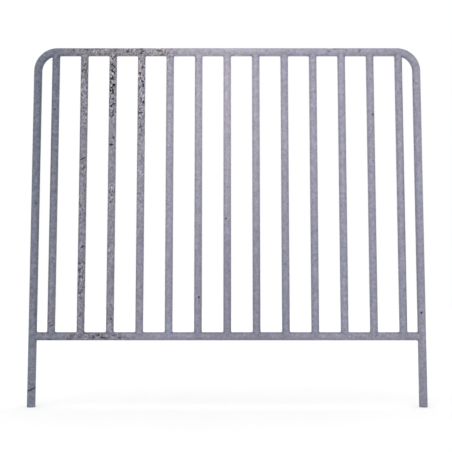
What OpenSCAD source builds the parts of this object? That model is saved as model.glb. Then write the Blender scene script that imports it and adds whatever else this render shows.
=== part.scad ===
// Crowd control barrier: a bent tube frame with a lower rail and upright bars, welded and galvanised.
// Millimetres. X runs along the barrier, Y through it, Z up. The origin is on the ground, midway
// between the two leg ends.

/* [Overall size] */
// Length over the outsides of the two posts
barrier_w = 1200; // [900:10:2500]
// Height from the ground to the top of the frame
barrier_h = 1100; // [900:10:1400]
// Height of the lower rail's centre line above the ground
rail_z = 210; // [120:5:300]

/* [Frame] */
// Outside diameter of the bent frame tube
frame_d = 25.4; // [25.4:0.1:34]
// Wall of the frame tube
frame_wall = 2; // [1.5:0.1:3]
// Centre-line radius of the two top bends
bend_r = 60; // [30:1:90]

/* [Lower rail] */
// Outside diameter of the lower rail, a little under the frame tube's
rail_d = 25; // [24.5:0.1:25]
// Wall of the lower rail
rail_wall = 2; // [1.5:0.1:3]

/* [Upright bars] */
// Number of upright bars
bar_count = 13; // [9:1:17]
// Outside diameter of a bar, a little under the rails'
bar_d = 24; // [18:0.5:24]
// Wall of a bar
bar_wall = 1.5; // [1:0.1:2]
// Distance from a post's centre line to the nearest bar's
end_gap = 55.5; // [35:0.5:80]

/* [Welds and vents] */
// Width of a weld bead along the tube that it closes on
bead_len = 3; // [2:0.1:4]
// Thickness of a weld bead around the tube that it closes off
bead_t = 1.6; // [1:0.1:2]
// Diameter of the vent hole inside each joint
vent_d = 8; // [5:0.5:10]

/* [Hidden] */
$fn = 48;
// Colours of the dull galvanised tubes and of the beads
zinc = [0.60, 0.59, 0.65];
weld_zinc = [0.55, 0.54, 0.60];
frame_r = frame_d / 2;
rail_r = rail_d / 2;
bar_r = bar_d / 2;
// Centre lines of the posts and of the top rail
post_x = barrier_w / 2 - frame_r;
top_z = barrier_h - frame_r;
// Where the straight posts end and the bends begin, in height and in X
bend_z = top_z - bend_r;
bend_x = post_x - bend_r;
// Bars: the first one's place, and the spacing between centre lines
first_bar_x = end_gap - post_x;
bar_pitch = -2 * first_bar_x / (bar_count - 1);
// How far a cutting tool runs past what it cuts
past = 1;
// Half of the box that a single joint's weld bead is made in
joint_box = 2 * frame_r;
// A bead stops this far short of the centre line of the tube it lies on
bead_stop = 2;

function bar_x(i) = first_bar_x + bar_pitch * (i - 1);
function two_digits(i) = str(i < 10 ? "0" : "", i);
// How far the frame's centre line has dropped below the top rail's, at a distance x from the middle
function bend_fall(x) = x <= bend_x ? 0 : bend_r - sqrt(pow(bend_r, 2) - pow(x - bend_x, 2));
// Height of the frame's centre line where bar i meets it
function bar_top(i) = top_z - bend_fall(abs(bar_x(i)));

bars = [for (i = [1:bar_count]) i];

// A solid rod of radius r along the centre line of the frame, drawn out of the ground by extra
module frame_rod(r, extra = 0) {
    for (side = [0, 1]) mirror([side, 0, 0]) {
        translate([post_x, 0, -extra]) cylinder(h = bend_z + extra, r = r);
        translate([bend_x, 0, bend_z]) rotate([90, 0, 0])
            rotate_extrude(angle = 90) translate([bend_r, 0]) circle(r = r);
    }
    translate([-bend_x, 0, top_z]) rotate([0, 90, 0]) cylinder(h = 2 * bend_x, r = r);
}

// A solid rod of radius r along the centre line of the lower rail, lengthened at each end by extra
module rail_rod(r, extra = 0) {
    length = 2 * (post_x + extra);
    translate([-length / 2, 0, rail_z]) rotate([0, 90, 0]) cylinder(h = length, r = r);
}

// A solid rod of radius r along the centre line of bar i, lengthened at each end by extra
module bar_rod(i, r, extra = 0) {
    translate([bar_x(i), 0, rail_z - extra]) cylinder(h = bar_top(i) - rail_z + 2 * extra, r = r);
}

// Inverted-U tube: the top rail, both posts and both legs in one length, open at the leg ends
module bent_frame() {
    color(zinc) difference() {
        frame_rod(frame_r);
        frame_rod(frame_r - frame_wall, extra = past);
        for (i = bars)
            translate([bar_x(i), 0, bar_top(i) - frame_d]) cylinder(h = frame_d, d = vent_d);
        for (side = [0, 1]) mirror([side, 0, 0])
            translate([post_x - frame_r - past, 0, rail_z]) rotate([0, 90, 0])
                cylinder(h = frame_r, d = vent_d);
    }
}

// Lower rail, its ends shaped to the posts' round sides
module lower_rail() {
    color(zinc) difference() {
        rail_rod(rail_r);
        rail_rod(rail_r - rail_wall, extra = past);
        frame_rod(frame_r);
        for (i = bars) translate([bar_x(i), 0, rail_z]) cylinder(h = rail_r + past, d = vent_d);
    }
}

// Upright bar i, its ends shaped to the two rails
module bar(i) {
    color(zinc) difference() {
        bar_rod(i, bar_r);
        bar_rod(i, bar_r - bar_wall, extra = past);
        frame_rod(frame_r);
        rail_rod(rail_r);
    }
}

// The rounded outer limit of a bead, around the crossing of two tubes' centre lines
module bead_limit(crossing, closed_r, closing_r, deeper = 0) {
    outer = norm([closed_r + bead_t / 2, closing_r + bead_len / 2]);
    translate(crossing) sphere(r = outer + deeper);
}

// Weld bead around the top of bar i, under the top rail. Where the bend falls away it reaches deeper.
module top_weld(i) {
    far_side = abs(bar_x(i)) + bar_r + bead_t;
    deeper = bend_fall(far_side) - bend_fall(abs(bar_x(i)));
    color(weld_zinc) difference() {
        intersection() {
            bar_rod(i, bar_r + bead_t);
            frame_rod(frame_r + bead_len);
            bead_limit([bar_x(i), 0, bar_top(i)], bar_r, frame_r, deeper);
            translate([bar_x(i) - joint_box, -joint_box, bar_top(i) - bead_stop - joint_box])
                cube([2 * joint_box, 2 * joint_box, joint_box]);
        }
        bar_rod(i, bar_r);
        frame_rod(frame_r);
    }
}

// Weld bead around the foot of bar i, on the lower rail
module bottom_weld(i) {
    color(weld_zinc) difference() {
        intersection() {
            bar_rod(i, bar_r + bead_t);
            rail_rod(rail_r + bead_len);
            bead_limit([bar_x(i), 0, rail_z], bar_r, rail_r);
            translate([bar_x(i) - joint_box, -joint_box, rail_z + bead_stop])
                cube([2 * joint_box, 2 * joint_box, joint_box]);
        }
        bar_rod(i, bar_r);
        rail_rod(rail_r);
    }
}

// Weld bead around one end of the lower rail: side is 1 for the right post, -1 for the left
module rail_weld(side) {
    color(weld_zinc) mirror([side < 0 ? 1 : 0, 0, 0]) difference() {
        intersection() {
            rail_rod(rail_r + bead_t);
            frame_rod(frame_r + bead_len);
            bead_limit([post_x, 0, rail_z], rail_r, frame_r);
            translate([post_x - bead_stop - joint_box, -joint_box, rail_z - joint_box])
                cube([joint_box, 2 * joint_box, 2 * joint_box]);
        }
        rail_rod(rail_r);
        frame_rod(frame_r);
    }
}

bent_frame();
lower_rail();
for (i = bars) {
    bar(i);
    top_weld(i);
    bottom_weld(i);
}
rail_weld(-1);  // left_rail_weld
rail_weld(1);  // right_rail_weld
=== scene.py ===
"""The looks of a galvanised crowd control barrier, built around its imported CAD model.

Every tube is remade as a fine closed mesh that carries the unevenness of hot-dip zinc, and every weld
as a rippled bead that follows the two tubes it joins. All lengths are in metres. X runs along the
barrier, Y through it (the front faces -Y), and Z up.
"""

import math

import bpy
import numpy as np
from mathutils import Euler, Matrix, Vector, noise


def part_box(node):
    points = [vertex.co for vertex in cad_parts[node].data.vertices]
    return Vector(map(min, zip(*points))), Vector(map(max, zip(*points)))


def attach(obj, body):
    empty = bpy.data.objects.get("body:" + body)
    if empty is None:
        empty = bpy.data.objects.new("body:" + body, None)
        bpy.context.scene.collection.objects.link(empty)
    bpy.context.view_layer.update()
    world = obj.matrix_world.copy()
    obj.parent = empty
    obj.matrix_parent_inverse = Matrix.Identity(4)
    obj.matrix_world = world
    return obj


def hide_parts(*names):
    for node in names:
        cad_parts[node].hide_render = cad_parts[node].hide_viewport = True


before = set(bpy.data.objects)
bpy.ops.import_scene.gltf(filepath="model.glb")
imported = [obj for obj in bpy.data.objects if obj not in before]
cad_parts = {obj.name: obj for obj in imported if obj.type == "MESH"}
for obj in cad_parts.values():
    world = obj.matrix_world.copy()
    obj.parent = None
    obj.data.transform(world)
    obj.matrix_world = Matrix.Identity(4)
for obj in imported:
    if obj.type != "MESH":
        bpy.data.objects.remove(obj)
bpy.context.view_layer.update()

MM = 0.001

# ---------------------------------------------------------------------------------- sizes, from the frame

frame_low, frame_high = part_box("bent_frame")
rail_low, rail_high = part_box("lower_rail")
BARS = sorted(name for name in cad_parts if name.startswith("bar_"))
bar_boxes = {name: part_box(name) for name in BARS}

FRAME_R = (frame_high.y - frame_low.y) / 2
RAIL_R = (rail_high.z - rail_low.z) / 2
BAR_R = (bar_boxes[BARS[0]][1].x - bar_boxes[BARS[0]][0].x) / 2
# One wall for every tube: the bars' real one is 1.5 mm, but both their ends are closed by the joints
WALL = 2 * MM
POST_X = frame_high.x - FRAME_R
TOP_Z = frame_high.z - FRAME_R
RAIL_Z = (rail_low.z + rail_high.z) / 2
BAR_X = {name: (low.x + high.x) / 2 for name, (low, high) in bar_boxes.items()}
LENGTH = frame_high.x - frame_low.x


EDGE_TOLERANCE = 0.02 * MM


def straight_post_top():
    """Height at which a post's outermost line ends and its bend begins."""
    edge = frame_high.x - EDGE_TOLERANCE
    return max(v.co.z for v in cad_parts["bent_frame"].data.vertices if v.co.x > edge)


BEND_Z = straight_post_top()
BEND_R = TOP_Z - BEND_Z
BEND_X = POST_X - BEND_R

# ------------------------------------------------------------------------------------------ mesh helpers


def add_piece(name, points, faces, uv=None):
    """A smooth-shaded mesh object from an array of points and a list of faces, with an optional map."""
    mesh = bpy.data.meshes.new(name)
    mesh.from_pydata([tuple(p) for p in points], [], faces)
    mesh.polygons.foreach_set("use_smooth", [True] * len(mesh.polygons))
    if uv is not None:
        layer = mesh.uv_layers.new(name="OFBake")
        layer.data.foreach_set("uv", np.asarray(uv, np.float32).ravel())
    mesh.validate()
    mesh.update()
    piece = bpy.data.objects.new(name, mesh)
    bpy.context.scene.collection.objects.link(piece)
    return piece


def stand_for(piece, node, material):
    """The piece takes a CAD node's place, its body and its material."""
    piece.data.materials.append(material)
    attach(piece, "root")
    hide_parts(node)


def ring_faces(rings, sides, start, flip):
    """Quads between consecutive rings of points, the first of which is at index start."""
    faces = []
    for i in range(rings - 1):
        for j in range(sides):
            k = (j + 1) % sides
            a = start + i * sides
            b = a + sides
            quad = (a + j, a + k, b + k, b + j)
            faces.append(quad[::-1] if flip else quad)
    return faces


# A tube's map has rows of its skin one above another, and a last row with its bore and, beside it, the
# rims of its two ends. Each row keeps a small gap at its edges.
MAP_GAP = 0.004
BORE_SHARE = 0.94
FIRST_RIM, LAST_RIM = (0.95, 0.97), (0.98, 0.996)
SHARP_ANGLE = math.radians(50)


def strip_map(rings, sides, flip, rows, first_row, all_rows, reach=1.0):
    """The map of ring_faces, in the same order: the strip is cut into rows, one above another."""
    cuts = np.linspace(0, rings - 1, rows + 1).round().astype(int)
    i, j = np.repeat(np.arange(rings - 1), sides), np.tile(np.arange(sides), rings - 1)
    row = np.searchsorted(cuts, i, side="right") - 1
    corners = [(0, 0), (0, 1), (1, 1), (1, 0)]
    if flip:
        corners.reverse()
    along = np.stack([(i + di - cuts[row]) / np.diff(cuts)[row] for di, dj in corners], -1)
    around = np.stack([(j + dj) / sides for di, dj in corners], -1)
    u = reach * (MAP_GAP + (1 - 2 * MAP_GAP) * along)
    v = (first_row + row[:, None] + around) / all_rows
    v += MAP_GAP * (1 - 2 * around)
    return np.stack([u, v], -1).reshape(-1, 2)


def hollow_tube(name, outer, inner, map_rows):
    """A closed hollow tube. outer and inner are arrays of rings with the same number of sides."""
    rings_out, sides = outer.shape[:2]
    rings_in = inner.shape[0]
    inner_start = rings_out * sides
    faces = ring_faces(rings_out, sides, 0, flip=False)
    faces += ring_faces(rings_in, sides, inner_start, flip=True)
    last_out = (rings_out - 1) * sides
    last_in = inner_start + (rings_in - 1) * sides
    (first_a, first_b), (last_a, last_b) = FIRST_RIM, LAST_RIM
    rims = []
    for j in range(sides):
        k = (j + 1) % sides
        faces.append((j, inner_start + j, inner_start + k, k))
        faces.append((last_out + j, last_out + k, last_in + k, last_in + j))
        low, high = (
            (map_rows + MAP_GAP + (1 - 2 * MAP_GAP) * m / sides) / (map_rows + 1) for m in (j, j + 1)
        )
        rims += [(first_a, low), (first_b, low), (first_b, high), (first_a, high)]
        rims += [(last_a, low), (last_a, high), (last_b, high), (last_b, low)]
    points = np.concatenate([outer.reshape(-1, 3), inner.reshape(-1, 3)])
    skin = strip_map(rings_out, sides, False, map_rows, 0, map_rows + 1)
    bore = strip_map(rings_in, sides, True, 1, map_rows, map_rows + 1, BORE_SHARE)
    tube = add_piece(name, points, faces, np.concatenate([skin, bore, rims]))
    tube.data.set_sharp_from_angle(angle=SHARP_ANGLE)
    return tube


# ------------------------------------------------------------------------------------ the zinc's own relief

# Shallow knocks: centre, radius of the knock and its depth
DENTS = (
    (Vector((-0.213, -0.006, TOP_Z + FRAME_R)), 16 * MM, 0.8 * MM),
    (Vector((0.318, 0.004, TOP_Z + FRAME_R)), 21 * MM, 1.0 * MM),
    (Vector((0.071, -FRAME_R, TOP_Z)), 12 * MM, 0.5 * MM),
    (Vector((-POST_X, -FRAME_R, 0.64)), 15 * MM, 0.6 * MM),
    (Vector((POST_X, -FRAME_R, 0.41)), 18 * MM, 0.7 * MM),
    (Vector((POST_X, FRAME_R, 0.77)), 14 * MM, 0.6 * MM),
    (Vector((0.443, -RAIL_R, RAIL_Z)), 14 * MM, 0.6 * MM),
    (Vector((-0.355, -BAR_R, 0.52)), 12 * MM, 0.5 * MM),
    (Vector((0.177, -BAR_R, 0.86)), 12 * MM, 0.5 * MM),
)
# How far along the barrier the crusted zinc reaches, as a share of its length, at each height
CRUST_EDGE = (
    (0.18, 0.235),
    (0.27, 0.165),
    (0.50, 0.175),
    (0.62, 0.215),
    (0.80, 0.265),
    (1.00, 0.305),
    (1.07, 0.335),
)
# It starts between the first two bars; before that only its colours show a little
CRUST_START = (0.085, 0.120)
CRUST_BEFORE = 0.16
CRUST_FADE = 0.055
# On these bars its colours come and go: how strong they are at each height
CRUST_ALONG = {
    "bar_02": (
        (0.22, 0.65), (0.36, 0.65), (0.38, 1.00), (0.43, 1.00), (0.45, 0.30), (0.51, 0.35), (0.54, 0.80),
        (0.60, 0.80), (0.63, 0.50), (0.67, 0.68), (0.73, 0.68), (0.76, 0.20), (0.84, 0.15), (0.87, 0.65),
        (1.03, 0.80), (1.07, 0.50),
    ),
    "bar_03": (
        (0.22, 0.65), (0.31, 0.55), (0.36, 0.25), (0.42, 0.30), (0.44, 0.70), (0.48, 0.70), (0.51, 0.45),
        (0.60, 0.45), (0.62, 0.95), (0.66, 0.95), (0.68, 0.35), (0.76, 0.35), (0.79, 0.65), (0.83, 0.35),
        (0.87, 0.35), (0.89, 1.00), (1.07, 1.00),
    ),
    "bar_04": (
        (0.22, 0.25), (0.30, 0.20), (0.50, 0.25), (0.60, 0.45), (0.78, 0.50), (0.82, 0.70), (0.90, 0.75),
        (0.94, 0.95), (1.05, 0.95), (1.07, 0.80),
    ),
}


def crust(p):
    """How rough the zinc is at p, from 0 to 1: it is crusted on the left bars and on the rails there."""
    along = (p.x - frame_low.x) / LENGTH
    heights, edges = zip(*CRUST_EDGE)
    past = along - np.interp(p.z, heights, edges)
    fade = 1 - min(1.0, max(0.0, past / CRUST_FADE))
    start = min(1.0, max(0.0, (along - CRUST_START[0]) / (CRUST_START[1] - CRUST_START[0])))
    return float(fade * start)


# The relief's parts: waves per metre, and height in mm
SWELL_WAVES, SWELL_HEIGHT = 38, 0.07
PITTING_WAVES, PITTING_HEIGHT = 230, 0.05
LUMP_WAVES, LUMP_HEIGHT = 150, 0.25
LUMP_OCTAVES = 3
SKIN_DEPTH = 0.10


def relief(p):
    """Height of the zinc's surface over the tube's nominal one at p. It is never above it."""
    swell = noise.noise(p * SWELL_WAVES) * SWELL_HEIGHT * MM
    pitting = noise.noise(p * PITTING_WAVES) * PITTING_HEIGHT * MM
    lumps = noise.turbulence(p * LUMP_WAVES, LUMP_OCTAVES, True) * crust(p) * LUMP_HEIGHT * MM
    knock = sum(depth * math.exp(-((p - at).length / (size / 2)) ** 2) for at, size, depth in DENTS)
    return min(0.0, swell + pitting - SKIN_DEPTH * MM) - lumps - knock


def roughened(centres, normals, radius):
    """Rings of outer points, each moved along its normal by the relief there."""
    out = centres + normals * radius
    flat, flat_normals = out.reshape(-1, 3), normals.reshape(-1, 3)
    heights = np.array([relief(Vector(p)) for p in flat])
    return (flat + flat_normals * heights[:, None]).reshape(out.shape)


# ---------------------------------------------------------------------------------------------- the tubes

SIDES = 40
RING_STEP = 4 * MM
BORE_STEP = 4 * RING_STEP
LEAST_BEND_RINGS = 8
# How many rows each tube's skin takes on its map
FRAME_ROWS, BAR_ROWS, RAIL_ROWS = 6, 3, 3
angles = np.linspace(0, 2 * math.pi, SIDES, endpoint=False)


def frame_path(step):
    """Points along the frame's centre line from the left leg's foot to the right one's, with directions."""
    points, ways = [], []

    def straight(a, b):
        count = max(1, round((b - a).length / step))
        for i in range(count):
            points.append(a.lerp(b, i / count))
            ways.append((b - a).normalized())

    def bend(centre_x, start):
        count = max(LEAST_BEND_RINGS, round(BEND_R * math.pi / 2 / step))
        for i in range(count):
            turn = start - math.pi / 2 * i / count
            arm = Vector((math.cos(turn), 0, math.sin(turn)))
            points.append(Vector((centre_x, 0, BEND_Z)) + arm * BEND_R)
            ways.append(Vector((math.sin(turn), 0, -math.cos(turn))))

    straight(Vector((-POST_X, 0, 0)), Vector((-POST_X, 0, BEND_Z)))
    bend(-BEND_X, math.pi)
    straight(Vector((-BEND_X, 0, TOP_Z)), Vector((BEND_X, 0, TOP_Z)))
    bend(BEND_X, math.pi / 2)
    straight(Vector((POST_X, 0, BEND_Z)), Vector((POST_X, 0, 0)))
    points.append(Vector((POST_X, 0, 0)))
    ways.append(Vector((0, 0, -1)))
    return np.array(points), np.array(ways)


def frame_rings(step):
    """Ring centres and outward normals along the frame, turning about Y, so that no ring twists."""
    points, ways = frame_path(step)
    depth = np.array((0.0, 1.0, 0.0))
    outward = np.cross(depth, ways)
    normals = (
        outward[:, None, :] * np.cos(angles)[None, :, None]
        + depth[None, None, :] * np.sin(angles)[None, :, None]
    )
    centres = np.repeat(points[:, None, :], SIDES, axis=1)
    return centres, normals


def make_frame():
    centres, normals = frame_rings(RING_STEP)
    outer = roughened(centres, normals, FRAME_R)
    centres_in, normals_in = frame_rings(BORE_STEP)
    inner = centres_in + normals_in * (FRAME_R - WALL)
    return hollow_tube("frame_tube", outer, inner, FRAME_ROWS)


def hung_under_frame(x, offset):
    """Height of a point that lies offset above the frame's centre line, measured square to the tube."""
    into_bend = np.maximum(0.0, np.abs(x) - BEND_X)
    return BEND_Z + np.sqrt((BEND_R + offset) ** 2 - into_bend**2)


def bar_rings(x, radius, stations):
    """Rings of a bar at x, whose ends follow the round sides of the frame and the lower rail."""
    nx, ny = np.cos(angles), np.sin(angles)
    px, py = x + radius * nx, radius * ny
    top = hung_under_frame(px, -np.sqrt(FRAME_R**2 - py**2))
    foot = RAIL_Z + np.sqrt(RAIL_R**2 - py**2)
    share = np.linspace(0, 1, stations)[:, None]
    heights = foot[None, :] * (1 - share) + top[None, :] * share
    normals = np.broadcast_to(np.stack([nx, ny, 0 * nx], -1), (stations, SIDES, 3))
    centres = np.stack([np.full_like(heights, x), np.zeros_like(heights), heights], -1)
    return centres, normals


def make_bar(name):
    stations = round((TOP_Z - RAIL_Z) / RING_STEP)
    centres, normals = bar_rings(BAR_X[name], BAR_R, stations)
    outer = roughened(centres, normals, BAR_R)
    centres_in, normals_in = bar_rings(BAR_X[name], BAR_R - WALL, 2)
    inner = centres_in + normals_in * (BAR_R - WALL)
    return hollow_tube(name + "_tube", outer, inner, BAR_ROWS)


def rail_rings(radius, stations):
    """Rings of the lower rail, whose ends follow the round sides of the posts."""
    ny, nz = np.cos(angles), np.sin(angles)
    reach = POST_X - np.sqrt(FRAME_R**2 - (radius * ny) ** 2)
    share = np.linspace(-1, 1, stations)[:, None]
    along = share * reach[None, :]
    normals = np.broadcast_to(np.stack([0 * ny, ny, nz], -1), (stations, SIDES, 3))
    centres = np.stack([along, np.zeros_like(along), np.full_like(along, RAIL_Z)], -1)
    return centres, normals


def make_rail():
    centres, normals = rail_rings(RAIL_R, round(2 * POST_X / RING_STEP))
    outer = roughened(centres, normals, RAIL_R)
    centres_in, normals_in = rail_rings(RAIL_R - WALL, 2)
    inner = centres_in + normals_in * (RAIL_R - WALL)
    return hollow_tube("lower_rail_tube", outer, inner, RAIL_ROWS)


# ---------------------------------------------------------------------------------------------- the welds

BEAD_LEG = 3.6 * MM
BEAD_CORNER_LEG = 2.2 * MM
BEAD_CROWN = 0.75 * MM
RIPPLE_PITCH = 2.4 * MM
RIPPLE_HEIGHT = 0.6 * MM
# How far a ripple's middle lags behind its ends, as a share of the pitch, and how rounded it is
RIPPLE_LAG = 0.55
RIPPLE_ROUNDING = 0.7
BEAD_SINK = 0.4 * MM
BEAD_ROUNDING = 1.3
# The joint line is longer than the closing tube's round, by about this much
JOINT_STRETCH = 1.15
# How much a leg's length wanders, in mm, and how much of that and of the ripples the corners keep
BEAD_WANDER = 0.5
CORNER_WANDER, CORNER_RIPPLE = 0.4, 0.15
BEAD_RINGS = 300
BEAD_POINTS = 9
BEAD_MAP_ROWS = 2
# Where each weld's wandering starts: the step from bar to bar, what a bottom weld adds, and the rail's
SEED_STEP, BOTTOM_SEED, RAIL_SEED = 1.7, 50, 9.3


def bead(through_r, closing_r, seed):
    """A fillet bead where a tube of radius closing_r ends on the side of one of radius through_r.

    The through tube lies along U and the closing tube comes off it towards -W, with both centre lines
    through the origin. Returns rings of points (U, Y, W) around the joint, and how deep each point lies
    in a groove: 1 between two ripples and along the toes, 0 on a ripple's back.
    """
    rings, grooves = [], []
    for theta in np.linspace(0, 2 * math.pi, BEAD_RINGS, endpoint=False):
        c, s = math.cos(theta), math.sin(theta)
        phi = math.asin(closing_r * s / through_r)
        drop = through_r * math.cos(phi)
        wander = noise.noise(Vector((3 * c, 3 * s, seed))) * BEAD_WANDER * MM
        leg = BEAD_CORNER_LEG + (BEAD_LEG - BEAD_CORNER_LEG) * s * s
        leg = leg + wander * (CORNER_WANDER + (1 - CORNER_WANDER) * s * s)
        # the toe on the through tube, a leg away from the joint line along that tube's surface
        along, around = closing_r * c * through_r / drop, closing_r * s
        size = math.hypot(along, around)
        toe_phi = phi + leg * around / size / through_r
        toe_u = closing_r * c + leg * along / size
        n_through = Vector((0, math.sin(toe_phi), -math.cos(toe_phi)))
        toe_through = Vector((toe_u, 0, 0)) + n_through * (through_r - BEAD_SINK)
        # the toe on the closing tube, a leg away along the other surface
        slope = closing_r**2 * s * c / drop
        size = math.hypot(slope, closing_r)
        toe_theta = theta + leg * slope / size / closing_r
        toe_w = -drop - leg * closing_r / size
        n_closing = Vector((math.cos(toe_theta), math.sin(toe_theta), 0))
        toe_closing = n_closing * (closing_r - BEAD_SINK) + Vector((0, 0, toe_w))
        # the crown between them, with ripples that curve back at its middle
        out = (n_through + n_closing).normalized()
        travelled = theta * closing_r * JOINT_STRETCH / RIPPLE_PITCH
        ring, groove = [], []
        for t in np.linspace(0, 1, BEAD_POINTS):
            arch = (4 * t * (1 - t)) ** BEAD_ROUNDING
            ripple = abs(math.sin(math.pi * (travelled - RIPPLE_LAG * arch))) ** RIPPLE_ROUNDING
            raised = RIPPLE_HEIGHT * ripple * (CORNER_RIPPLE + (1 - CORNER_RIPPLE) * s * s)
            height = (BEAD_CROWN * s * s + 0.35 * BEAD_SINK + raised) * arch
            ring.append(toe_closing.lerp(toe_through, t) + out * height)
            groove.append(max((1 - ripple) ** 1.5 * arch, (1 - arch) ** 3))
        ring.append((toe_closing + toe_through) / 2 - out * 1.5 * BEAD_SINK)
        groove.append(0.0)
        rings.append(ring)
        grooves.append(groove)
    return np.array([[tuple(p) for p in ring] for ring in rings]), np.array(grooves)


def make_bead(name, node, place, through_r, closing_r, seed):
    """A closed ring of bead, put in place by a function of its U, Y and W."""
    rings, grooves = bead(through_r, closing_r, seed)
    rings_count, sides = rings.shape[:2]
    points = place(rings[..., 0], rings[..., 1], rings[..., 2]).reshape(-1, 3)
    faces = []
    for i in range(rings_count):
        for j in range(sides):
            k, n = (j + 1) % sides, (i + 1) % rings_count
            faces.append((i * sides + j, i * sides + k, n * sides + k, n * sides + j))
    uv = strip_map(rings_count + 1, sides, False, BEAD_MAP_ROWS, 0, BEAD_MAP_ROWS)
    piece = add_piece(name, points, faces, uv)
    face_outwards(piece)
    groove = piece.data.attributes.new("groove", "FLOAT", "POINT")
    groove.data.foreach_set("value", grooves.astype(np.float32).ravel())
    stand_for(piece, node, weld_zinc)


def face_outwards(piece):
    """Turns a closed mesh's faces outwards if its volume says that they face in."""
    volume = 0.0
    points = piece.data.vertices
    for face in piece.data.polygons:
        a, b, *rest = [points[i].co for i in face.vertices]
        for c in rest:
            volume += a.dot(b.cross(c))
            b = c
    if volume < 0:
        piece.data.flip_normals()


def top_place(x):
    return lambda u, y, w: np.stack([x + u, y, hung_under_frame(x + u, w)], -1)


def bottom_place(x):
    return lambda u, y, w: np.stack([x + u, y, RAIL_Z - w], -1)


def rail_end_place(side):
    return lambda u, y, w: np.stack([side * (POST_X + w), y, RAIL_Z + u], -1)


def make_welds():
    for index, name in enumerate(BARS):
        number, x, seed = name[-2:], BAR_X[name], index * SEED_STEP
        top, bottom = "top_weld_" + number, "bottom_weld_" + number
        make_bead(top + "_bead", top, top_place(x), FRAME_R, BAR_R, seed)
        make_bead(bottom + "_bead", bottom, bottom_place(x), RAIL_R, BAR_R, seed + BOTTOM_SEED)
    for side, word in ((-1, "left"), (1, "right")):
        node = word + "_rail_weld"
        make_bead(node + "_bead", node, rail_end_place(side), FRAME_R, RAIL_R, side * RAIL_SEED)


# ------------------------------------------------------------------------------------------ the materials


class Nodes:
    """Short calls for building one material's node tree."""

    def __init__(self, name):
        self.material = bpy.data.materials.new(name)
        self.material.use_nodes = True
        self.tree = self.material.node_tree
        self.tree.nodes.clear()

    def add(self, kind, inputs=None, **settings):
        node = self.tree.nodes.new("ShaderNode" + kind)
        for key, value in settings.items():
            setattr(node, key, value)
        for key, value in (inputs or {}).items():
            if isinstance(value, bpy.types.NodeSocket):
                self.tree.links.new(value, node.inputs[key])
            else:
                node.inputs[key].default_value = value
        return node

    def math(self, operation, a, b=0.0, c=0.0, clamp=False):
        node = self.add("Math", {0: a, 1: b, 2: c}, operation=operation, use_clamp=clamp)
        return node.outputs[0]

    def remap(self, value, from_low, from_high, to_low, to_high, smooth=False):
        inputs = {0: value, 1: from_low, 2: from_high, 3: to_low, 4: to_high}
        kind = "SMOOTHSTEP" if smooth else "LINEAR"
        return self.add("MapRange", inputs, interpolation_type=kind).outputs[0]

    def noise(self, where, scale, detail=2.0, roughness=0.5, distortion=0.0):
        inputs = {"Vector": where, "Scale": scale, "Detail": detail}
        inputs.update({"Roughness": roughness, "Distortion": distortion})
        return self.add("TexNoise", inputs).outputs["Fac"]

    def stretched(self, where, scale, rotation=(0, 0, 0)):
        inputs = {"Vector": where, "Scale": scale, "Rotation": rotation}
        return self.add("Mapping", inputs).outputs[0]

    def ramp(self, value, stops):
        node = self.add("ValToRGB", {0: value})
        elements = node.color_ramp.elements
        while len(elements) < len(stops):
            elements.new(0.5)
        for element, (position, colour) in zip(elements, stops):
            element.position = position
            element.color = (*colour, 1)
        return node.outputs[0]

    def mix(self, share, a, b, blend="MIX"):
        node = self.add("Mix", data_type="RGBA", blend_type=blend)
        for socket, value in ((node.inputs[0], share), (node.inputs[6], a), (node.inputs[7], b)):
            if isinstance(value, bpy.types.NodeSocket):
                self.tree.links.new(value, socket)
            else:
                socket.default_value = value
        return node.outputs[2]


# The zinc's tone along the barrier, near its top and near its foot, with painted light in it: blue-grey
# and darker at the left post, a painted shadow over that end, paler and more lavender past the middle,
# and duller low down, painted shade where less of the light from above falls
TONES_AND_LIGHT_HIGH = (
    (0.00, (111, 117, 132)),
    (0.07, (116, 120, 134)),
    (0.13, (134, 132, 144)),
    (0.28, (147, 145, 156)),
    (0.36, (160, 157, 170)),
    (0.50, (169, 165, 178)),
    (0.64, (159, 157, 171)),
    (1.00, (150, 148, 163)),
)
TONES_AND_LIGHT_LOW = (
    (0.00, (118, 121, 135)),
    (0.07, (128, 128, 141)),
    (0.20, (135, 134, 146)),
    (0.34, (145, 143, 159)),
    (0.50, (134, 133, 149)),
    (0.64, (135, 135, 151)),
    (0.80, (144, 144, 161)),
    (1.00, (142, 141, 156)),
)
TONES_FROM, TONES_TO = 0.22, 0.98
STAIN_TONE = (148, 138, 131)

# How pale the bloom is between the crusted zinc's dark flecks, and how strong those are, where a piece
# differs from the bars; and how much darker a piece is
BLOOM = {"bent_frame": 0.45, "lower_rail": 0.40}
FLECKS = {"bent_frame": 0.60, "lower_rail": 0.75}
GAIN = {"lower_rail": 0.955}

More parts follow.
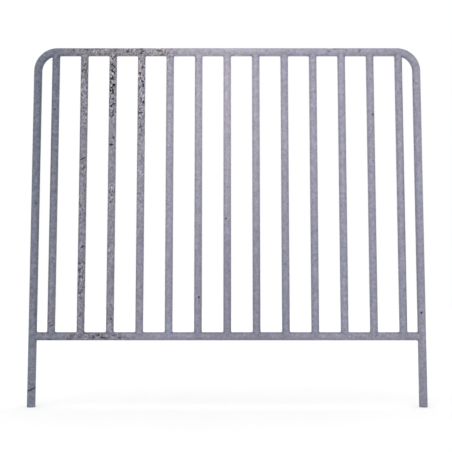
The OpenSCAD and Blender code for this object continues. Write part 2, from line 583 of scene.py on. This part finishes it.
# Dark marks on each piece's front, in mm: x from a bar's centre or the barrier's middle, height, half
# length and half thickness; then the angle that the mark climbs at, and how dark it is
MARKS = {
    "bent_frame": (
        (584, 281, 2.4, 4.0, 0, 1.0),
        (584, 985, 2.2, 2.2, 0, 0.8),
        (-583, 612, 2.3, 2.6, 0, 0.8),
        (-476, 1090, 4.0, 3.0, 0, 0.6),
        (-434, 1092, 9.0, 3.4, -15, 0.6),
        (-406, 1095, 5.0, 3.0, 0, 0.5),
        (-346, 1092, 6.0, 4.0, 30, 0.5),
        (-309, 1087, 6.0, 4.0, -20, 0.6),
        (-266, 1096, 6.0, 3.5, 0, 0.9),
        (-262, 1086, 5.0, 4.0, 40, 0.8),
        (-216, 1090, 4.0, 3.5, 30, 0.6),
        (-206, 1089, 4.0, 3.5, 0, 0.5),
        (200, 1079, 3.0, 2.0, 0, 0.5),
        (315, 1088, 6.0, 3.5, -30, 0.35),
        (337, 1094, 9.0, 3.5, 0, 0.35),
        (369, 1091, 4.0, 4.0, 0, 0.3),
        (410, 1089, 3.5, 6.0, 0, 0.4),
    ),
    "lower_rail": (
        (-535, 201, 6.0, 2.0, 0, 0.8),
        (-528, 214, 4.0, 2.0, 20, 0.5),
        (-508, 203, 5.0, 2.0, 0, 0.4),
        (-475, 202, 9.0, 2.4, 0, 0.6),
        (-462, 214, 4.0, 2.4, -30, 0.5),
        (-402, 209, 4.0, 4.5, 0, 0.7),
        (-388, 214, 5.0, 3.5, 30, 0.8),
        (-372, 206, 9.5, 3.0, -8, 0.8),
        (-340, 214, 7.0, 3.0, 5, 0.6),
        (-322, 206, 5.0, 3.0, 20, 0.5),
    ),
    "bar_01": ((1, 905, 3.2, 2.0, 15, 0.8), (-4, 249, 6.0, 1.8, 40, 0.6), (4, 243, 4.8, 1.8, 30, 0.6)),
    "bar_02": (
        (1, 751, 9.5, 2.2, 28, 1.0),
        (-2, 1028, 6.0, 3.2, 20, 0.7),
        (-3, 340, 4.0, 3.0, 30, 0.8),
        (3, 480, 5.5, 3.0, 35, 0.9),
        (-4, 430, 4.5, 2.6, 0, 0.8),
        (-2, 412, 5.0, 2.6, 60, 0.8),
    ),
    "bar_03": (
        (-3, 1045, 5.0, 2.4, 30, 0.9),
        (4, 1022, 6.0, 2.4, -35, 1.0),
        (-4, 1000, 5.0, 2.6, 40, 1.0),
        (4, 982, 6.0, 2.6, 20, 1.0),
        (-4, 965, 5.5, 2.7, -38, 1.0),
        (2, 938, 6.0, 2.2, 55, 0.9),
        (1, 918, 11.0, 2.4, 34, 1.0),
        (2, 885, 7.5, 2.0, 46, 1.0),
        (5, 816, 3.0, 4.0, 0, 1.0),
        (-2, 794, 7.0, 3.0, -8, 1.0),
        (4, 262, 3.0, 3.4, 0, 0.8),
    ),
    "bar_04": (
        (6, 1037, 4.2, 3.2, 60, 1.0),
        (-4, 1018, 4.0, 3.0, 0, 1.0),
        (4, 993, 4.5, 2.6, 30, 1.0),
        (6, 926, 3.2, 3.0, 0, 0.9),
        (-3, 893, 4.0, 2.4, 30, 0.8),
    ),
    "bar_06": ((3, 327, 2.2, 3.5, 0, 1.0),),
    "bar_07": ((-4, 565, 3.0, 2.6, 20, 0.9),),
    "bar_09": ((-2, 428, 1.8, 2.0, 0, 0.8),),
    "bar_10": ((4, 957, 2.0, 2.0, 0, 0.7),),
    "bar_12": ((5, 888, 2.6, 3.0, 0, 1.0), (4, 745, 1.6, 1.8, 0, 0.7), (-3, 727, 1.6, 1.8, 0, 0.7)),
    "bar_13": ((3, 970, 1.9, 1.9, 0, 0.7),),
}


def display(red, green, blue):
    """A display colour from 0 to 255 as scene-linear light."""
    return tuple(((c / 255 + 0.055) / 1.055) ** 2.4 for c in (red, green, blue))


def tone_ramp(nodes, along, tones):
    return nodes.ramp(along, [(at, display(*colour)) for at, colour in tones])


MARK_REACH = 9 * MM  # how far a mark goes into the tube
MARK_EDGE = (0.7, 1.4)  # where its edge fades out, in half sizes from its middle


def mark_mask(nodes, where, centre_x, mark):
    """1 inside one elongated mark on the front, falling to 0 around it."""
    x, z, half_length, half_width, climb, depth = mark
    place = (centre_x + x * MM, -BAR_R, z * MM)
    turned = nodes.add(
        "Mapping",
        {"Vector": where, "Location": place, "Rotation": (0, math.radians(-climb), 0)},
        vector_type="TEXTURE",
    ).outputs[0]
    size = (half_length * MM, MARK_REACH, half_width * MM)
    scaled = nodes.add("VectorMath", {0: turned, 1: size}, operation="DIVIDE")
    distance = nodes.add("VectorMath", {0: scaled.outputs[0]}, operation="LENGTH").outputs["Value"]
    return nodes.remap(distance, *MARK_EDGE, depth, 0, smooth=True)


LINE_HEIGHT, LINE_CLIMB = 0.052, 0.42
LINE_RAGGED = 5 * MM
LINE_EDGE = (3.8 * MM, 5.8 * MM)  # from its middle line, where the raggedness adds about 2.5 mm
LINE_BREAKS = (0.38, 0.58, 0.78, 1)  # from, to, and how strong the line is there
LEG_EDGE = (0.016, 0.018)
FRONT_EDGE = 0.003


def dark_line_mask(nodes, x, y, z, ragged):
    """The dark line that climbs across the left leg's front, with ragged edges."""
    across = nodes.math("SUBTRACT", x, -POST_X)
    height = nodes.math("MULTIPLY_ADD", across, -LINE_CLIMB, z)
    off = nodes.math("ABSOLUTE", nodes.math("SUBTRACT", height, LINE_HEIGHT))
    off = nodes.math("MULTIPLY_ADD", ragged, LINE_RAGGED, off)
    line = nodes.remap(off, *LINE_EDGE, 1, 0, smooth=True)
    line = nodes.math("MULTIPLY", line, nodes.remap(ragged, *LINE_BREAKS))
    on_leg = nodes.remap(nodes.math("ABSOLUTE", across), *LEG_EDGE, 1, 0)
    on_front = nodes.remap(y, -FRONT_EDGE, FRONT_EDGE, 1, 0, smooth=True)
    return nodes.math("MULTIPLY", nodes.math("MULTIPLY", line, on_leg), on_front)


def crust_mask(nodes, along, z):
    """The zone of crust() as nodes, with a little of it left before its start."""
    level = nodes.math("DIVIDE", z, frame_high.z)
    edge = nodes.ramp(level, [(height / frame_high.z, (share,) * 3) for height, share in CRUST_EDGE])
    past = nodes.math("SUBTRACT", along, edge)
    fade = nodes.remap(past, 0, CRUST_FADE, 1, 0)
    start = nodes.remap(along, *CRUST_START, CRUST_BEFORE, 1)
    return nodes.math("MULTIPLY", fade, start)


# Noise scales of the zinc, in waves or cells per metre, from the slow drift of tint to the fine grain
CLOUD_SCALE, PATCH_SCALE, PINHOLE_SCALE = 26.0, 17.0, 24.0
SPANGLE_SCALE, RUN_SCALE, MOTTLE_SCALE = 115.0, 120.0, 125.0
WARP_SCALE, BLOOM_SCALE, FLECK_SCALE = 170.0, 170.0, 185.0
PEPPER_SCALE, GRAIN_SCALE, FEATHER_SCALE = 270.0, 620.0, 950.0
# How far the warp shifts the patterns, and how much of it the crystals take
WARP_REACH, CRYSTAL_WARP = 7.5 * MM, 0.35
FLECK_LEAN, FLECK_STRETCH = math.radians(38), 0.62
FEATHER_STRETCH, RUN_STRETCH, PATCH_STRETCH = 0.16, 0.05, 0.8
# How much light the dark parts take away, as a share; on the welds it is painted shade in the grooves and
# along the toes
FLECK_DARK, MARK_DARK, GROOVE_SHADE = -0.80, -0.86, -0.38
# How far the painted shade near the floor darkens the feet at the barrier's right end
FOOT_SHADE = -0.16
METALLIC, SPECULAR = 0.6, 0.35
BUMP_STRENGTH, BUMP_DISTANCE = 0.55, 0.3 * MM


def spangle(nodes, where, cells_per_metre):
    """Zinc crystals: each has its own shade and its own direction of fine feathering."""
    cell = nodes.add("TexVoronoi", {"Vector": where, "Scale": cells_per_metre})
    colour = nodes.add("SeparateColor", {0: cell.outputs["Color"]})
    spin = nodes.math("MULTIPLY", colour.outputs[1], 6.28)
    turned = nodes.add(
        "VectorRotate", {"Vector": where, "Axis": cell.outputs["Color"], "Angle": spin}
    ).outputs[0]
    feather = nodes.noise(nodes.stretched(turned, (1.0, FEATHER_STRETCH, 1.0)), FEATHER_SCALE)
    return colour.outputs[0], feather


def galvanised(name, piece="", rough=0.0, weld=False):
    """Dull hot-dip zinc: spangle, mottling, fine grain, dark flecks, pale bloom, and the piece's marks."""
    n = Nodes(name)
    where = n.add("TexCoord").outputs["Object"]
    split = n.add("SeparateXYZ", {0: where})
    x, z = split.outputs[0], split.outputs[2]
    along = n.remap(x, frame_low.x, frame_high.x, 0, 1)
    warp = n.add("TexNoise", {"Vector": where, "Scale": WARP_SCALE, "Detail": 3.0}).outputs["Color"]
    warp = n.add("VectorMath", {0: warp, 1: (0.5, 0.5, 0.5)}, operation="SUBTRACT").outputs[0]
    warp = n.add("VectorMath", {0: warp, "Scale": WARP_REACH}, operation="SCALE").outputs[0]
    bent = n.add("VectorMath", {0: where, 1: warp}, operation="ADD").outputs[0]

    # tone with its painted shadow at the left end and painted shade low down, and a slow drift between
    # cooler and warmer zinc
    level = n.remap(z, TONES_FROM, TONES_TO, 0, 1, smooth=True)
    tone_and_light = n.mix(level, tone_ramp(n, along, TONES_AND_LIGHT_LOW), tone_ramp(n, along, TONES_AND_LIGHT_HIGH))
    cloud = n.noise(where, CLOUD_SCALE, detail=3.0)
    tint = n.ramp(cloud, ((0.30, (0.95, 0.99, 1.02)), (0.50, (1, 1, 1)), (0.70, (1.04, 1.0, 0.975))))
    colour = n.mix(1.0, tone_and_light, tint, "MULTIPLY")

    # crystals, mottling and grain, stronger where the zinc is crusted
    if piece in CRUST_ALONG:
        stops = [(height / frame_high.z, (share,) * 3) for height, share in CRUST_ALONG[piece]]
        zone = n.ramp(n.math("DIVIDE", z, frame_high.z), stops)
        patch = 1.0
    else:
        zone = crust_mask(n, along, z)
        patch = n.noise(n.stretched(where, (1.0, 1.0, PATCH_STRETCH)), PATCH_SCALE)
        patch = n.remap(patch, 0.40, 0.56, 0.22, 1)
    slight = n.add("VectorMath", {0: warp, "Scale": CRYSTAL_WARP}, operation="SCALE").outputs[0]
    slight = n.add("VectorMath", {0: where, 1: slight}, operation="ADD").outputs[0]
    crystal, feather = spangle(n, slight, SPANGLE_SCALE)
    grain = n.noise(where, GRAIN_SCALE, detail=3.0, roughness=0.65)
    mottle = n.noise(bent, MOTTLE_SCALE, detail=3.0, roughness=0.6)
    gain = GAIN.get(piece, 1.0)
    light = n.remap(crystal, 0, 1, 0.885 * gain, 1.115 * gain)
    light = n.math("MULTIPLY", light, n.remap(feather, 0.3, 0.7, 0.94, 1.06))
    light = n.math("MULTIPLY", light, n.remap(grain, 0.3, 0.7, 0.92, 1.08))
    swing = n.math("MULTIPLY_ADD", zone, 0.6, n.remap(along, 0.1, 0.4, 1.2, 0.9))
    mottled = n.math("MULTIPLY_ADD", n.math("SUBTRACT", mottle, 0.5), swing, 1.0)
    light = n.math("MULTIPLY", light, mottled)
    pepper = n.math("MULTIPLY_ADD", n.noise(bent, PEPPER_SCALE), 2.0, -1.0)
    swing = n.math("MULTIPLY_ADD", zone, 0.95, 0.25)
    light = n.math("MULTIPLY", light, n.math("MULTIPLY_ADD", pepper, swing, 1.03))

    # dark flecks that lean, and pale bloom between them
    lean = n.stretched(bent, (1.0, 1.0, FLECK_STRETCH), rotation=(0, FLECK_LEAN, 0))
    heavy = n.remap(z, 0.70, 0.90, 0.8, 1.1)
    local = n.math("MULTIPLY", n.math("MULTIPLY", zone, patch), heavy)
    spots = n.noise(lean, FLECK_SCALE, detail=2.5, distortion=0.4)
    spots = n.remap(spots, 0.54, 0.61, 0, 1, smooth=True)
    flecks = n.math("MULTIPLY", n.math("MULTIPLY", spots, local), FLECKS.get(piece, 1.0))
    bloom = n.remap(n.noise(lean, BLOOM_SCALE), 0.36, 0.46, 1, 0, smooth=True)
    bloom = n.math("MULTIPLY", bloom, local)
    light = n.math("MULTIPLY", light, n.math("MULTIPLY_ADD", bloom, BLOOM.get(piece, 0.90), 1.0))
    light = n.math("MULTIPLY", light, n.math("MULTIPLY_ADD", flecks, FLECK_DARK, 1.0))
    run = n.noise(n.stretched(where, (1.0, 1.0, RUN_STRETCH)), RUN_SCALE)
    light = n.math("MULTIPLY", light, n.remap(run, 0.3, 0.7, 0.97, 1.03))
    # painted shade near the floor: darker towards the feet below the lower rail, more so towards the right
    # end
    foot_shade = n.math("MULTIPLY", n.remap(z, 0.0, RAIL_Z, 1, 0), n.remap(along, 0, 1, 0.0, FOOT_SHADE))
    light = n.math("MULTIPLY", light, n.math("ADD", foot_shade, 1.0))
    colour = n.mix(local, colour, n.mix(1.0, colour, (1.02, 1.0, 0.97, 1), "MULTIPLY"))

    # sparse pinholes everywhere, and the single marks
    speck = n.add("TexVoronoi", {"Vector": bent, "Scale": PINHOLE_SCALE})
    few = n.add("SeparateColor", {0: speck.outputs["Color"]}).outputs[1]
    dots = n.remap(speck.outputs["Distance"], 0.030, 0.060, 1, 0, smooth=True)
    marks = n.math("MULTIPLY", dots, n.remap(few, 0.35, 1.0, 0.0, 1.0))
    for mark in MARKS.get(piece, ()):
        marks = n.math("MAXIMUM", marks, mark_mask(n, bent, BAR_X.get(piece, 0.0), mark))
    if piece == "bent_frame":
        marks = n.math("MAXIMUM", marks, dark_line_mask(n, x, split.outputs[1], z, mottle))
    light = n.math("MULTIPLY", light, n.math("MULTIPLY_ADD", marks, MARK_DARK, 1.0))
    # painted shade on the welds: darker in the grooves between ripples and along the toes, and a touch
    # lighter on the ripples' backs
    if weld:
        groove = n.add("Attribute", attribute_name="groove").outputs["Fac"]
        light = n.math("MULTIPLY", light, n.math("MULTIPLY_ADD", groove, GROOVE_SHADE, 1.03))

    # brownish stain along the top rail's crusted part
    on_top = n.remap(z, TOP_Z - 1.3 * FRAME_R, TOP_Z - 0.8 * FRAME_R, 0, 1)
    stain = n.math("MULTIPLY", n.math("MULTIPLY", on_top, zone), n.remap(mottle, 0.45, 0.62, 0, 0.32))
    colour = n.mix(stain, colour, (*display(*STAIN_TONE), 1))
    grey = n.add("CombineColor", {0: light, 1: light, 2: light}).outputs[0]
    colour = n.mix(1.0, colour, grey, "MULTIPLY")

    dark = n.math("MAXIMUM", flecks, marks)
    finish = n.math("MULTIPLY_ADD", grain, 0.22, 0.40 + rough)
    finish = n.math("MULTIPLY_ADD", crystal, 0.12, finish)
    finish = n.math("MULTIPLY_ADD", dark, 0.2, finish, clamp=True)
    height = n.math("MULTIPLY_ADD", feather, 0.35, grain)
    height = n.math("MULTIPLY_ADD", crystal, 0.25, height)
    height = n.math("MULTIPLY_ADD", mottle, n.math("MULTIPLY_ADD", zone, 2.0, 0.6), height)
    height = n.math("MULTIPLY_ADD", dark, -0.8, height)
    bump = n.add("Bump", {"Strength": BUMP_STRENGTH, "Distance": BUMP_DISTANCE, "Height": height})
    inputs = {"Base Color": colour, "Roughness": finish, "Normal": bump.outputs[0]}
    shader = n.add("BsdfPrincipled", inputs)
    shader.inputs["Metallic"].default_value = METALLIC
    shader.inputs["Specular IOR Level"].default_value = SPECULAR
    n.add("OutputMaterial", {"Surface": shader.outputs[0]})
    return n.material


def plain_floor():
    n = Nodes("pale_floor")
    where = n.add("TexCoord").outputs["Object"]
    shade = n.remap(n.noise(where, 3.0, detail=4.0), 0.3, 0.7, 0.94, 0.96)
    colour = n.add("CombineColor", {0: shade, 1: shade, 2: shade}).outputs[0]
    shader = n.add("BsdfPrincipled", {"Base Color": colour, "Roughness": 0.9})
    shader.inputs["Specular IOR Level"].default_value = 0.1
    n.add("OutputMaterial", {"Surface": shader.outputs[0]})
    return n.material


# ---------------------------------------------------------------------------------------------- the stage

SENSOR = 36.0
LENS = 63.7
CAMERA_AT = (-0.0038, -2.4335, 0.326)
CAMERA_UP = 5.12
CLIP = 0.05, 100
# name, the way the light falls, its spread in degrees and its strength
LIGHTS = (
    ("key", (0.25, 0.85, -0.75), 60, 0.42),
    ("fill", (-0.8, -0.55, -0.6), 70, 0.22),
)
FLOOR_HALF = 20.0


def make_camera():
    data = bpy.data.cameras.new("camera")
    data.lens, data.sensor_width = LENS, SENSOR
    data.clip_start, data.clip_end = CLIP
    camera = bpy.data.objects.new("camera", data)
    camera.location = CAMERA_AT
    camera.rotation_euler = Euler((math.radians(90 + CAMERA_UP), 0, 0))
    bpy.context.scene.collection.objects.link(camera)
    bpy.context.scene.camera = camera


def soft_light(name, towards, spread, strength):
    """A wide, soft light that falls the same way everywhere."""
    data = bpy.data.lights.new(name, "SUN")
    data.angle, data.energy = math.radians(spread), strength
    light = bpy.data.objects.new(name, data)
    light.rotation_euler = Vector(towards).to_track_quat("-Z", "Y").to_euler()
    bpy.context.scene.collection.objects.link(light)


def make_stage():
    world = bpy.data.worlds.new("white_studio")
    world.use_nodes = True
    background = world.node_tree.nodes["Background"]
    background.inputs["Color"].default_value = (1, 1, 1, 1)
    background.inputs["Strength"].default_value = 1.0
    bpy.context.scene.world = world
    for light in LIGHTS:
        soft_light(*light)
    corners = [(x * FLOOR_HALF, y * FLOOR_HALF, 0) for x, y in ((-1, -1), (1, -1), (1, 1), (-1, 1))]
    floor = add_piece("floor", corners, [(0, 1, 2, 3)])
    floor.data.materials.append(plain_floor())
    bpy.context.scene.view_settings.view_transform = "Standard"
    bpy.context.scene.view_settings.look = "None"


# ------------------------------------------------------------------------------------------- put together

make_camera()
make_stage()
plain_zinc = galvanised("galvanised_tube")
weld_zinc = galvanised("galvanised_weld", rough=0.06, weld=True)
tubes = {"bent_frame": make_frame(), "lower_rail": make_rail()}
tubes.update({bar_name: make_bar(bar_name) for bar_name in BARS})
for node_name, tube in tubes.items():
    zinc = galvanised("galvanised_" + node_name, node_name) if node_name in MARKS else plain_zinc
    stand_for(tube, node_name, zinc)
make_welds()
